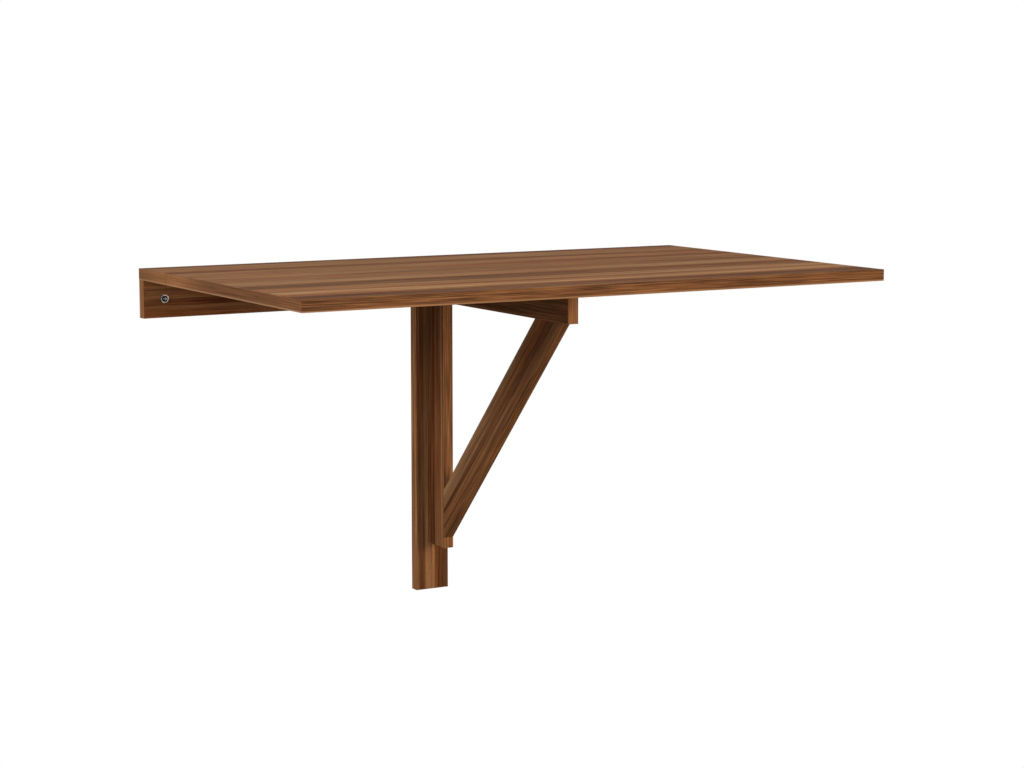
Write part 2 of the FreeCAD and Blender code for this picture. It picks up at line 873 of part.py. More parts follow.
GLIDE_Y = f"({ARM_FRONT} + glide_inset)"
glide_nail_hole = rods(
    "glide_nail_hole",
    "glide_nail_radius + screw_slack",
    "glide_nail_length + screw_slack",
    [(BRACKET_MIDDLE, GLIDE_Y, f"{ARM_TOP} - glide_nail_length - screw_slack", UP)],
)
arm_edge_bands = group(
    "arm_edge_bands",
    [
        band(
            "arm_top_band",
            (BRACKET_LEFT, ARM_FRONT, f"({ARM_TOP} - band_thickness)"),
            (BRACKET_RIGHT, BOARD_FRONT, ARM_TOP),
            "+z",
            glide_nail_hole,
        ),
        band(
            "arm_bottom_band",
            (BRACKET_LEFT, ARM_FRONT, ARM_BOTTOM),
            (BRACKET_RIGHT, BOARD_FRONT, f"({ARM_BOTTOM} + band_thickness)"),
            "-z",
            arm_dowel_holes + brace_head_holes,
        ),
        band(
            "arm_front_band",
            (BRACKET_LEFT, ARM_FRONT, f"({ARM_BOTTOM} + band_thickness)"),
            (BRACKET_RIGHT, f"({ARM_FRONT} + band_thickness)", f"({ARM_TOP} - band_thickness)"),
            "-y",
        ),
    ],
)


# ---- Boards: particle board cores inside the edging, drilled for what joins them

wall_rail = drilled(
    "wall_rail",
    box(
        "rail_core",
        (f"(-{HALF_TOP} + band_thickness)", BOARD_FRONT, f"({RAIL_BOTTOM} + band_thickness)"),
        (f"({HALF_TOP} - band_thickness)", "0", RAIL_TOP),
    ),
    rods("rail_wall_hole", "wall_hole_radius", "board_thickness", rail_screw_spots)
    + post_dowel_holes
    + strip_dowel_holes
    + screw_holes("rail_angle_hole", "angle_screw_radius", "angle_screw_length", angle_rail_spots),
)
wall_post = drilled(
    "wall_post",
    box(
        "post_core",
        (f"({POST_LEFT} + band_thickness)", BOARD_FRONT, f"({POST_BOTTOM} + band_thickness)"),
        (f"({POST_RIGHT} - band_thickness)", "0", RAIL_BOTTOM),
    ),
    rods("post_wall_hole", "wall_hole_radius", "board_thickness", post_wall_spots)
    + countersinks("post_wall_seat", post_wall_spots)
    + post_dowel_holes
    + screw_holes("post_hinge_hole", "hinge_screw_radius", "hinge_screw_length", post_screw_spots),
)
fixed_strip = drilled(
    "fixed_strip",
    box(
        "strip_core",
        (f"(-{HALF_TOP} + band_thickness)", "(-strip_depth + band_thickness)", TOP_LOW),
        (f"({HALF_TOP} - band_thickness)", "0", TOP_HIGH),
    ),
    strip_dowel_holes
    + screw_holes("strip_angle_hole", "angle_screw_radius", "angle_screw_length", angle_strip_spots)
    + screw_holes("strip_hinge_hole", "hinge_screw_radius", "hinge_screw_length", strip_screw_spots),
)
drop_leaf = drilled(
    "drop_leaf",
    box(
        "leaf_core",
        (f"(-{HALF_TOP} + band_thickness)", f"({LEAF_FRONT} + band_thickness)", TOP_LOW),
        (f"({HALF_TOP} - band_thickness)", f"({LEAF_REAR} - band_thickness)", TOP_HIGH),
    ),
    screw_holes("leaf_hinge_hole", "hinge_screw_radius", "hinge_screw_length", leaf_screw_spots),
)
bracket_upright = drilled(
    "bracket_upright",
    box(
        "upright_core",
        (BRACKET_LEFT, f"({UPRIGHT_FRONT} + band_thickness)", f"({UPRIGHT_BOTTOM} + band_thickness)"),
        (BRACKET_RIGHT, f"({BOARD_FRONT} - band_thickness)", ARM_BOTTOM),
    ),
    arm_dowel_holes
    + brace_foot_holes
    + screw_holes("upright_hinge_hole", "hinge_screw_radius", "hinge_screw_length", upright_screw_spots),
)
bracket_arm = drilled(
    "bracket_arm",
    box(
        "arm_core",
        (BRACKET_LEFT, f"({ARM_FRONT} + band_thickness)", f"({ARM_BOTTOM} + band_thickness)"),
        (BRACKET_RIGHT, BOARD_FRONT, f"({ARM_TOP} - band_thickness)"),
    ),
    arm_dowel_holes + brace_head_holes + glide_nail_hole,
)


# ---- Brace: cut at both ends to lie on the upright's front and the arm's underside

UPRIGHT_AND_IN = FreeCAD.Vector(0, 1, 1)


def slanted(name, outer, inner, eased=0):
    """A board along the brace between two lines parallel to its lower edge, at given distances inside it.

    eased is -1 or 1 where the two long edges of its lower or upper side are rounded.
    """
    body = named("PartDesign::Body", name)
    outline = body.newObject("Sketcher::SketchObject", f"{name}_outline")
    plane = next(item for item in body.Origin.OriginFeatures if item.Role == "YZ_Plane")
    outline.AttachmentSupport = [(plane, "")]
    outline.MapMode = "FlatFace"
    corners = [
        (UPRIGHT_FRONT, f"{BRACE_FOOT} + {outer} * {BRACE_SLOPE} / {BRACE_RUN}"),
        (f"{BRACE_HEAD} + {outer} * {BRACE_SLOPE} / {BRACE_RISE}", ARM_BOTTOM),
        (f"{BRACE_HEAD} + {inner} * {BRACE_SLOPE} / {BRACE_RISE}", ARM_BOTTOM),
        (UPRIGHT_FRONT, f"{BRACE_FOOT} + {inner} * {BRACE_SLOPE} / {BRACE_RUN}"),
    ]
    start = [FreeCAD.Vector(-1, -4), FreeCAD.Vector(-4, -1), FreeCAD.Vector(-3, -1), FreeCAD.Vector(-1, -3)]
    for n in range(4):
        outline.addGeometry(Part.LineSegment(start[n], start[(n + 1) % 4]), False)
    for n in range(4):
        outline.addConstraint(Sketcher.Constraint("Coincident", n, 2, (n + 1) % 4, 1))
    for n, (y, z) in enumerate(corners):
        across = outline.addConstraint(Sketcher.Constraint("DistanceX", -1, 1, n, 1, start[n].x))
        upwards = outline.addConstraint(Sketcher.Constraint("DistanceY", -1, 1, n, 1, start[n].y))
        bind(outline, **{f"Constraints[{across}]": y, f"Constraints[{upwards}]": z})
    doc.recompute()
    pad = body.newObject("PartDesign::Pad", f"{name}_pad")
    pad.Profile = outline
    bind(pad, Length="board_thickness")
    place(body, BRACKET_LEFT, "0", "0")
    doc.recompute()
    if eased:
        half = max(edge.Length for edge in pad.Shape.Edges) / 2
        middle = pad.Shape.CenterOfGravity
        rounded(
            body,
            "round",
            "band_round",
            lambda edge: edge.Length > half and eased * (edge.CenterOfMass - middle).dot(UPRIGHT_AND_IN) > 0,
        )
    return body


bracket_brace = drilled(
    "bracket_brace",
    slanted("brace_core", "band_thickness", "(brace_width - band_thickness)"),
    brace_head_holes + brace_foot_holes,
)
brace_edge_bands = group(
    "brace_edge_bands",
    [
        slanted("brace_lower_band", "0", "band_thickness", -1),
        slanted("brace_upper_band", "(brace_width - band_thickness)", "brace_width", 1),
    ],
)
brace_dowels = group("brace_dowels", [brace_head_dowels, brace_foot_dowels])


# ---- Glide: a nylon button nailed on the arm near its end, on which the leaf rests

arm_glide = named("PartDesign::Body", "arm_glide")
feature(arm_glide, "AdditiveCylinder", "button", Radius="glide_radius", Height="glide_height")
button_top = arm_glide.Shape.BoundBox.ZMax - HAIR
rounded(arm_glide, "button_rim", "glide_round", lambda edge: edge.CenterOfMass.z > button_top)
feature(
    arm_glide,
    "AdditiveCylinder",
    "nail",
    z="-glide_nail_length",
    Radius="glide_nail_radius",
    Height="glide_nail_length",
)
place(arm_glide, BRACKET_MIDDLE, GLIDE_Y, ARM_TOP)
doc.recompute()


# ---- Check every object, then write one file for each node

NODES = (
    wall_rail,
    wall_post,
    fixed_strip,
    drop_leaf,
    rail_edge_bands,
    post_edge_bands,
    strip_edge_bands,
    leaf_edge_bands,
    post_dowels,
    strip_dowels,
    angle_brackets,
    angle_bracket_screws,
    leaf_hinge_strip_plates,
    leaf_hinge_leaf_plates,
    leaf_hinge_pins,
    leaf_hinge_screws,
    swing_hinge_post_plates,
    swing_hinge_pins,
    swing_hinge_post_screws,
    rail_wall_screws,
    post_wall_screws,
    bracket_upright,
    bracket_arm,
    bracket_brace,
    upright_edge_bands,
    arm_edge_bands,
    brace_edge_bands,
    arm_dowels,
    brace_dowels,
    swing_hinge_upright_plates,
    swing_hinge_upright_screws,
    arm_glide,
)

failed = [thing.Name for thing in doc.Objects if {"Invalid", "Error"} & set(thing.State)]
for node in NODES:
    if node.Shape.isNull() or not node.Shape.isValid():
        failed.append(node.Label)
if failed:
    raise RuntimeError("these objects did not build: " + ", ".join(failed))

os.makedirs("parts", exist_ok=True)
for node in NODES:
    node.Shape.exportStep(f"parts/{node.Label}.step")
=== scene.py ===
# Wall mounted drop leaf table in a lamella walnut decor. Everything is in metres, in the part's own
# frame: X runs along the wall, Y into it and Z up, from the middle of the rail's back. The sizes of
# boards, patterns and fittings are named in millimetres.
# The sections follow the table as it is put together: the top, the rail, the post, the swinging
# bracket, the fittings that join them, and last the studio that it stands in.

import math

import bmesh
import bpy
from mathutils import Matrix, Vector


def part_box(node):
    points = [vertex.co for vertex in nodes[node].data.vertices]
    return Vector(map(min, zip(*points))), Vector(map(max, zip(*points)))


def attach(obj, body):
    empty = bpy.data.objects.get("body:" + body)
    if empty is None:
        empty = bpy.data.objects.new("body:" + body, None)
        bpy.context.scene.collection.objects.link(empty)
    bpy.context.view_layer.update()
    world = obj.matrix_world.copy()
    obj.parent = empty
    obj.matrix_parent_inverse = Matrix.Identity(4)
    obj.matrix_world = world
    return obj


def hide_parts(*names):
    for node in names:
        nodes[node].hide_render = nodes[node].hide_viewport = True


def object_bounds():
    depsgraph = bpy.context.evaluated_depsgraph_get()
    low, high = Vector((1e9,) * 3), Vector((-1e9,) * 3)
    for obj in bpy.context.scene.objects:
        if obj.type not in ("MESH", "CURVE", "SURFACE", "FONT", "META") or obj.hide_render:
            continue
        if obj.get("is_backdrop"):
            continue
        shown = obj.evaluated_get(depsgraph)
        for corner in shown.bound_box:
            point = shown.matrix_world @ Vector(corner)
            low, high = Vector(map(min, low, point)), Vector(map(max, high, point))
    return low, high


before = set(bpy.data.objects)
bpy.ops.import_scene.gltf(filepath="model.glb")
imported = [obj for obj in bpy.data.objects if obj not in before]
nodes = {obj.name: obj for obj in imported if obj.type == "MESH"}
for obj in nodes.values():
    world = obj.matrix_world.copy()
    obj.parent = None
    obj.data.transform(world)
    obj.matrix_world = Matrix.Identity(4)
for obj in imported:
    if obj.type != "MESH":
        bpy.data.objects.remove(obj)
cad_low, cad_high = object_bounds()
MM = 0.001


# ---------------------------------------------------------------------------------------------------
# The top: a narrow strip fixed to the wall and the leaf hinged to its front edge. Both are 18 mm
# particle board faced with melamine, cut from one sheet, so the printed walnut lamellas run on
# across the joint. Edges that show are closed with 1 mm ABS edging and rounded over.

TO_THE_RIGHT = Vector((1, 0, 0))
TO_THE_FRONT = Vector((0, -1, 0))
UPWARDS = Vector((0, 0, 1))
DOWNWARDS = Vector((0, 0, -1))

BOARD_THICKNESS = 18

# The print's inks, from the dark heartwood lines to the pale sapwood. A lamella of tone 0 starts this
# far up them, and one of tone 1 a whole span further.
WALNUT_INKS = (
    (0.00, "#241309"),
    (0.26, "#502c13"),
    (0.50, "#7c502e"),
    (0.76, "#9f7149"),
    (1.00, "#c09669"),
)
INK_START, INK_SPAN = 0.13, 0.70

# Streaks of the print: length and breadth in millimetres, and how much each darkens or lightens.
DECOR_STREAKS = (
    (800, 60, 0.45),
    (460, 14, 0.50),
    (260, 4.5, 0.54),
    (120, 1.8, 0.56),
    (40, 0.8, 0.34),
)

# Each lamella was cut from another flitch, so its streaks start somewhere else: this many millimetres
# away for a whole step of tone.
FLITCH_SHIFT = 3000

# The print is a little redder in some places and duller in others. These are the size of such a
# place in millimetres, and the hues and saturations that it ranges between.
WARM_PLACE = (500, 26, 20)
HUES, SATURATIONS = (0.493, 0.507), (1.08, 0.96)

# Pores are 0.3 mm broad on the real board. They are drawn a little coarser, so that they show.
PORE_SIZE, PORE_RIM, PORE_STRENGTH = (11, 0.55, BOARD_THICKNESS), 0.40, 0.35

# The resin is satin and the bare core dull. A relief is a strength and a depth in millimetres.
RESIN_ROUGHNESS, CORE_ROUGHNESS = (0.80, 0.68), 0.95
RESIN = {"IOR": 1.5, "Specular IOR Level": 0.14}
BOARD_RELIEF = (0.35, 0.06)

# Chips of the core, 1 to 3 mm long and broad and lying flat.
CORE_CHIPS = ((0.0, "#7d6040"), (0.45, "#a98a60"), (1.0, "#cdb38a"))
CHIP_SIZE = (2.6, 2.2, 0.9)

# Nearly all of a noise lies between these two values.
NOISE_LOW, NOISE_HIGH = 0.3, 0.7

# How squarely a surface must face a way to count as facing it, as a cosine.
FACING = 0.6


def linear(colour):
    """An sRGB hex colour as the linear colour that Blender's sockets take."""
    parts = [int(colour[i : i + 2], 16) / 255 for i in (1, 3, 5)]
    return tuple(p / 12.92 if p <= 0.04045 else ((p + 0.055) / 1.055) ** 2.4 for p in parts) + (1.0,)


def add(tree, kind, inputs=None, stops=(), blend="LINEAR", **settings):
    """
    One node: its settings, its inputs as values or as other nodes' outputs, and the stops of a
    ramp, each a place and a hex colour or a plain number. Inputs that share a name go by number:
    MapRange reads from 1 to 2 and gives from 3 to 4, and Mix goes from 2 to 3, or from colour 6 to
    colour 7, by the share in 0.
    """
    node = tree.nodes.new("ShaderNode" + kind)
    for name, value in settings.items():
        setattr(node, name, value)
    if stops:
        ramp = node.color_ramp
        ramp.interpolation = blend
        ramp.elements[0].position, ramp.elements[1].position = stops[0][0], stops[-1][0]
        for place, _ in stops[1:-1]:
            ramp.elements.new(place)
        for element, (_, paint) in zip(ramp.elements, stops):
            element.color = linear(paint) if isinstance(paint, str) else (paint, paint, paint, 1)
    for name, value in (inputs or {}).items():
        if isinstance(value, bpy.types.NodeSocket):
            tree.links.new(value, node.inputs[name])
        else:
            node.inputs[name].default_value = value
    return node


def new_material(name):
    """An empty node material, with its tree."""
    material = bpy.data.materials.new(name)
    material.use_nodes = True
    material.node_tree.nodes.clear()
    return material, material.node_tree


def surfaced(tree, colour, roughness, height, relief, extras):
    """The surface that a material ends in. Extras are its further inputs, such as how metallic it is."""
    strength, depth = relief
    bump = add(tree, "Bump", {"Strength": strength, "Distance": depth * MM, "Height": height})
    look = {"Base Color": colour, "Roughness": roughness, "Normal": bump.outputs[0], **extras}
    surface = add(tree, "BsdfPrincipled", look)
    add(tree, "OutputMaterial", {"Surface": surface.outputs[0]})


def board_place(tree, along, across, start=0):
    """Millimetres on a board: along its grain, across it from the start, and through its thickness."""
    turned_and_moved = {
        "Vector": add(tree, "TexCoord").outputs["Object"],
        "Location": (0, -start, 0),
        "Rotation": Matrix((along, across, along.cross(across))).to_euler(),
        "Scale": (1 / MM, 1 / MM, 1 / MM),
    }
    return add(tree, "Mapping", turned_and_moved).outputs[0]


def fibres(tree, place, size, **noise):
    """Noise drawn out into blots of about a size, which is given along X, Y and Z of the place."""
    scale = [1 / measure for measure in size]
    stretched = add(tree, "VectorMath", {0: place, 1: scale}, operation="MULTIPLY")
    return add(tree, "TexNoise", {"Vector": stretched.outputs[0], "Scale": 1.0, **noise}).outputs[0]


def streaked(tree, place, streaks, tone):
    """Lays streaks of several sizes over a tone. The place is in millimetres, the grain along X."""
    for length, breadth, strength in streaks:
        streak = fibres(tree, place, (length, breadth, BOARD_THICKNESS), Detail=2.0, Roughness=0.55)
        centred = add(tree, "Math", {0: streak, 1: 0.5}, operation="SUBTRACT").outputs[0]
        laid = add(tree, "Math", {0: centred, 1: strength, 2: tone}, operation="MULTIPLY_ADD")
        tone = laid.outputs[0]
    return tone


def banded(tree, across, bands, blend):
    """
    The tone at a place across a board. Bands are (edge in mm, tone from 0 to 1), and the last edge
    is the board's own.
    """
    width = bands[-1][0]
    share = add(tree, "Math", {0: across, 1: width}, operation="DIVIDE")
    stops = [(edge / width, tone) for edge, tone in bands]
    tones = add(tree, "ValToRGB", {0: share.outputs[0]}, stops=stops, blend=blend)
    return add(tree, "SeparateColor", {0: tones.outputs[0]}).outputs[0]


def facing(tree, way):
    """1 where a surface faces a way or its opposite, and 0 elsewhere."""
    normal = add(tree, "TexCoord").outputs["Normal"]
    slant = add(tree, "VectorMath", {0: normal, 1: way}, operation="DOT_PRODUCT")
    square = add(tree, "Math", {0: slant.outputs["Value"]}, operation="ABSOLUTE")
    return add(tree, "Math", {0: square.outputs[0], 1: FACING}, operation="GREATER_THAN").outputs[0]


def walnut_print(tree, place, lamellas):
    """
    The printed paper: its colour, its shade, the dashes of noise that its pores follow, and its
    skin, which is 0 in a pore and 1 between pores.
    """
    across = add(tree, "SeparateXYZ", {0: place}).outputs[1]
    tone = banded(tree, across, lamellas, "CONSTANT")
    shift = add(tree, "Math", {0: tone, 1: FLITCH_SHIFT}, operation="MULTIPLY").outputs[0]
    shifts = add(tree, "CombineXYZ", {0: shift, 1: shift})
    flitch = add(tree, "VectorMath", {0: place, 1: shifts.outputs[0]}, operation="ADD").outputs[0]

    even = add(tree, "Math", {0: tone, 1: INK_SPAN, 2: INK_START}, operation="MULTIPLY_ADD")
    shade = streaked(tree, flitch, DECOR_STREAKS, even.outputs[0])
    inks = add(tree, "ValToRGB", {0: shade}, stops=WALNUT_INKS)
    warmth = {0: fibres(tree, flitch, WARM_PLACE, Detail=1.0), 1: NOISE_LOW, 2: NOISE_HIGH}
    hue = add(tree, "MapRange", {**warmth, 3: HUES[0], 4: HUES[1]})
    depth = add(tree, "MapRange", {**warmth, 3: SATURATIONS[0], 4: SATURATIONS[1]})
    warmed = {"Hue": hue.outputs[0], "Saturation": depth.outputs[0], "Color": inks.outputs[0]}
    tinted = add(tree, "HueSaturation", warmed).outputs[0]

    dashes = fibres(tree, flitch, PORE_SIZE, Detail=1.0)
    rims = {0: dashes, 1: NOISE_LOW, 2: PORE_RIM, 3: 0.0, 4: 1.0}
    skin = add(tree, "MapRange", rims, interpolation_type="SMOOTHSTEP").outputs[0]
    darkest = linear(WALNUT_INKS[0][1])
    porous = add(tree, "Mix", {0: skin, 6: darkest, 7: tinted}, data_type="RGBA").outputs[2]
    printed = add(tree, "Mix", {0: PORE_STRENGTH, 6: tinted, 7: porous}, data_type="RGBA")
    return printed.outputs[2], shade, dashes, skin


def walnut_decor(name, along, across, start, lamellas):
    """
    Melamine board: paper printed with lamellas of walnut, pressed under a satin resin whose plate
    leaves the pores as fine dashes, on particle board whose chips show where an edge or a bore is
    bare. Lamellas are bands across the board, from its start.
    """
    material, tree = new_material(name)
    place = board_place(tree, along, across, start)
    printed, shade, dashes, skin = walnut_print(tree, place, lamellas)

    scale = [1 / measure for measure in CHIP_SIZE]
    flat = add(tree, "VectorMath", {0: place, 1: scale}, operation="MULTIPLY")
    chips = add(tree, "TexVoronoi", {"Vector": flat.outputs[0], "Scale": 1.0, "Randomness": 1.0})
    chip_tone = add(tree, "SeparateColor", {0: chips.outputs["Color"]})
    core = add(tree, "ValToRGB", {0: chip_tone.outputs[0]}, stops=CORE_CHIPS)

    face = facing(tree, along.cross(across))
    colour = add(tree, "Mix", {0: face, 6: core.outputs[0], 7: printed}, data_type="RGBA")
    dull, smooth = RESIN_ROUGHNESS
    sheen = add(tree, "MapRange", {0: dashes, 1: NOISE_LOW, 2: NOISE_HIGH, 3: dull, 4: smooth})
    rough = add(tree, "Mix", {0: face, 2: CORE_ROUGHNESS, 3: sheen.outputs[0]})
    pressed = add(tree, "Math", {0: skin, 1: shade}, operation="ADD")
    height = add(tree, "Mix", {0: face, 2: chips.outputs["Distance"], 3: pressed.outputs[0]})
    surfaced(tree, colour.outputs[2], rough.outputs[0], height.outputs[0], BOARD_RELIEF, RESIN)
    return material


# ABS edging, printed to go with the board: longer, livelier streaks and a warmer brown.
EDGING_INKS = (
    (0.00, "#27140a"),
    (0.25, "#513118"),
    (0.50, "#7e512d"),
    (0.75, "#a66f40"),
    (1.00, "#c6955d"),
)
EDGING_STREAKS = ((230, 30, 0.40), (330, 7, 0.35), (220, 1.7, 1.10), (70, 1.1, 1.05))
EDGING_TONE = 0.42

# The streaks change this much more slowly into the strip than over it.
DEPTH_SHARE = 0.3

# The lacquer is a little duller over the dark shades of the print than over the pale ones.
LACQUER_SHADES, LACQUER_ROUGHNESS = (0.2, 0.8), (0.66, 0.56)
LACQUER = {"IOR": 1.5, "Specular IOR Level": 0.15}
EDGING_RELIEF = (0.3, 0.05)

# How much of their streaks the strips on a board's ends lose.
END_CALM = 0.6

# A corner that turns towards the board's face is paler, more and more between these two cosines and up
# to this share. This is partly the paler plastic that paring bares and partly a painted highlight on
# that corner.
PARED_AND_HIGHLIT_EDGE, HIGHLIT_SLANTS, HIGHLIT_SHARE = "#b47b49", (0.12, 0.45), 0.75

# A corner's painted highlight is this many millimetres broad, and fades in over the first of them.
CORNER_HIGHLIGHT, CORNER_HIGHLIGHT_BREADTH, CORNER_HIGHLIGHT_FADE, CORNER_HIGHLIGHT_SHARE = "#b5895f", 3.2, 2.0, 0.6


def walnut_edging(name, along, across, lightness=EDGING_TONE, end_tones=None, highlit_corner=None):
    """
    ABS edging of a board: extruded strip printed with walnut streaks along its length, lacquered
    satin. Its long corners are pared round, and those that turn towards the board's face are paler:
    partly the plastic that paring bares, partly a painted highlight. The strips on a board's ends can
    be printed more calmly, in tones of their own, given as bands across it. One corner can also get a
    painted highlight, a pale line given by its place through the thickness.
    """
    material, tree = new_material(name)
    place = add(tree, "SeparateXYZ", {0: board_place(tree, along, across)}).outputs
    is_end = facing(tree, along)

    # The strip's length is the grain, whichever way the edge runs; its breadth is the thickness.
    lengthwise = add(tree, "Mix", {0: is_end, 2: place[0], 3: place[1]})
    sidewise = add(tree, "Mix", {0: is_end, 2: place[1], 3: place[0]})
    depth = add(tree, "Math", {0: sidewise.outputs[0], 1: DEPTH_SHARE}, operation="MULTIPLY")
    strip_place = {0: lengthwise.outputs[0], 1: place[2], 2: depth.outputs[0]}
    strip = add(tree, "CombineXYZ", strip_place).outputs[0]
    tone = lightness
    if end_tones:
        end_tone = banded(tree, place[1], end_tones, "LINEAR")
        tone = add(tree, "Mix", {0: is_end, 2: lightness, 3: end_tone}).outputs[0]
    shade = streaked(tree, strip, EDGING_STREAKS, tone)
    if end_tones:
        calm = add(tree, "Math", {0: is_end, 1: END_CALM}, operation="MULTIPLY")
        shade = add(tree, "Mix", {0: calm.outputs[0], 2: shade, 3: tone}).outputs[0]
    colour = add(tree, "ValToRGB", {0: shade}, stops=EDGING_INKS).outputs[0]

    # Paler corners: pared plastic, and a painted highlight where they turn towards the board's face.
    normal = add(tree, "TexCoord").outputs["Normal"]
    slant = add(tree, "VectorMath", {0: normal, 1: along.cross(across)}, operation="DOT_PRODUCT")
    first, last = HIGHLIT_SLANTS
    highlit_slope = {0: slant.outputs["Value"], 1: first, 2: last, 3: 0.0, 4: HIGHLIT_SHARE}
    pared_and_highlit = {0: add(tree, "MapRange", highlit_slope).outputs[0], 6: colour, 7: linear(PARED_AND_HIGHLIT_EDGE)}
    colour = add(tree, "Mix", pared_and_highlit, data_type="RGBA").outputs[2]
    # Painted highlight: a pale line along one corner.
    if highlit_corner is not None:
        first = highlit_corner - CORNER_HIGHLIGHT_BREADTH
        highlit_band = {0: place[2], 1: first, 2: first + CORNER_HIGHLIGHT_FADE, 3: 0.0, 4: CORNER_HIGHLIGHT_SHARE}
        line = {0: add(tree, "MapRange", highlit_band).outputs[0], 6: colour, 7: linear(CORNER_HIGHLIGHT)}
        colour = add(tree, "Mix", line, data_type="RGBA").outputs[2]

    dark, pale = LACQUER_SHADES
    dull, smooth = LACQUER_ROUGHNESS
    sheen = add(tree, "MapRange", {0: shade, 1: dark, 2: pale, 3: dull, 4: smooth})
    surfaced(tree, colour, sheen.outputs[0], shade, EDGING_RELIEF, LACQUER)
    return material


def dress(material, *names):
    """Gives CAD pieces their material."""
    for name in names:
        nodes[name].active_material = material


def first_edge(edging, across):
    """Where a board starts across its grain, in millimetres, from the box of its edging."""
    return min(across.dot(corner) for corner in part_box(edging)) / MM


TOP_LAMELLAS = (
    (0, 0.36),
    (28, 0.71),
    (95, 0.43),
    (128, 0.66),
    (172, 0.56),
    (210, 0.67),
    (268, 0.60),
    (328, 0.76),
    (368, 0.43),
    (428, 0.77),
    (472, 0.68),
    (490, 0.88),
    (530, 0.60),
    (548, 0.40),
    (600, 0.40),
)
top_start = first_edge("strip_edge_bands", TO_THE_FRONT)
dress(
    walnut_decor("walnut_decor_top", TO_THE_RIGHT, TO_THE_FRONT, top_start, TOP_LAMELLAS),
    "fixed_strip",
    "drop_leaf",
)

# On the top a place through the thickness is a height turned negative. The lower corner gets a
# painted highlight.
TOP_END_TONES = ((0, 0.46), (150, 0.62), (288, 0.36), (456, 0.37), (600, 0.45))
TOP_EDGING_TONE = 0.39
underside = -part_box("drop_leaf")[0].z / MM
dress(
    walnut_edging(
        "walnut_edging_top", TO_THE_RIGHT, TO_THE_FRONT, TOP_EDGING_TONE, TOP_END_TONES, underside
    ),
    "strip_edge_bands",
    "leaf_edge_bands",
)


# ---------------------------------------------------------------------------------------------------
# The wall rail: the same decor board, on edge under the fixed strip and screwed to the wall near both
# ends. Its grain runs along the wall, and its lower edge and ends are closed with ABS edging.

RAIL_LAMELLAS = ((0, 0.49), (12, 0.45), (30, 0.33), (41, 0.46), (60, 0.46))
RAIL_EDGING_TONE = 0.46
rail_start = first_edge("rail_edge_bands", DOWNWARDS)
dress(
    walnut_decor("walnut_decor_rail", TO_THE_RIGHT, DOWNWARDS, rail_start, RAIL_LAMELLAS),
    "wall_rail",
)
dress(
    walnut_edging("walnut_edging_rail", TO_THE_RIGHT, DOWNWARDS, RAIL_EDGING_TONE),
    "rail_edge_bands",
)


# ---------------------------------------------------------------------------------------------------
# The wall post: the same decor board, upright under the rail, dowelled to it and screwed to the wall
# behind the bracket. Its grain is upright, with a pale lamella beside a red-brown one.

POST_LAMELLAS = ((0, 0.44), (6, 0.42), (16, 0.77), (35, 0.40), (60, 0.40))
POST_EDGING_TONE = 0.56
post_start = first_edge("post_edge_bands", TO_THE_RIGHT)
dress(
    walnut_decor("walnut_decor_post", UPWARDS, TO_THE_RIGHT, post_start, POST_LAMELLAS),
    "wall_post",
)
dress(
    walnut_edging("walnut_edging_post", UPWARDS, TO_THE_RIGHT, POST_EDGING_TONE),
    "post_edge_bands",
)


# ---------------------------------------------------------------------------------------------------
# The swinging bracket: an upright hinged to the post, an arm that carries the leaf and a brace
# between them, all 18 mm decor board with the grain along each. The joints are dowelled and glued.

UPRIGHT_LAMELLAS = ((0, 0.36), (16, 0.26), (26, 0.53), (46, 0.68), (52, 0.48), (56, 0.48))
UPRIGHT_EDGING_TONE = 0.56
upright_start = first_edge("upright_edge_bands", TO_THE_FRONT)
dress(
    walnut_decor("walnut_decor_upright", UPWARDS, TO_THE_FRONT, upright_start, UPRIGHT_LAMELLAS),
    "bracket_upright",
)
dress(
    walnut_edging("walnut_edging_upright", UPWARDS, TO_THE_FRONT, UPRIGHT_EDGING_TONE),
    "upright_edge_bands",
)

# The arm's visible edging stands on its end, so the strip's streaks are upright there.
ARM_LAMELLAS = ((0, 0.42), (22, 0.55), (49, 0.55))
ARM_EDGING_TONE = 0.66
arm_start = first_edge("arm_edge_bands", UPWARDS)
dress(walnut_decor("walnut_decor_arm", TO_THE_FRONT, UPWARDS, arm_start, ARM_LAMELLAS), "bracket_arm")
dress(
    walnut_edging("walnut_edging_arm", UPWARDS, TO_THE_FRONT, ARM_EDGING_TONE),
    "arm_edge_bands",
)

# The brace leans from the upright's foot to the arm's end. Its lower edge runs from corner to corner
# of its box, and its lamellas are counted from the upper edge.
BRACE_LAMELLAS = ((0, 0.57), (24, 0.44), (38, 0.49), (56.4, 0.49))
low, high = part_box("brace_edge_bands")
foot = Vector((0, high.y, low.z))
leaning = (Vector((0, low.y, high.z)) - foot).normalized()
across_brace = TO_THE_RIGHT.cross(leaning)
brace_start = across_brace.dot(foot) / MM - BRACE_LAMELLAS[-1][0]
dress(
    walnut_decor("walnut_decor_brace", leaning, across_brace, brace_start, BRACE_LAMELLAS),
    "bracket_brace",
)
dress(walnut_edging("walnut_edging_brace", leaning, across_brace), "brace_edge_bands")


# ---------------------------------------------------------------------------------------------------
# The metal fittings: butt hinges, angles and screws of steel, blanked or headed, then zinc plated and
# passivated, which leaves a cool, slightly cloudy silver with fine rolling lines.

SHEET_ZINC = ((0.0, "#8f949a"), (0.5, "#b4b8bc"), (1.0, "#d3d5d6"))
SCREW_ZINC = ((0.0, "#6a6d71"), (0.5, "#8a8d90"), (1.0, "#acadaf"))
SPANGLE, SCRATCH_SIZE = 4, (6, 0.2, 0.2)
STEEL_RELIEF = (0.2, 0.02)

# How much smoother and rougher than its mean the scratches make the steel.
SMOOTHER, ROUGHER = 0.08, 0.10


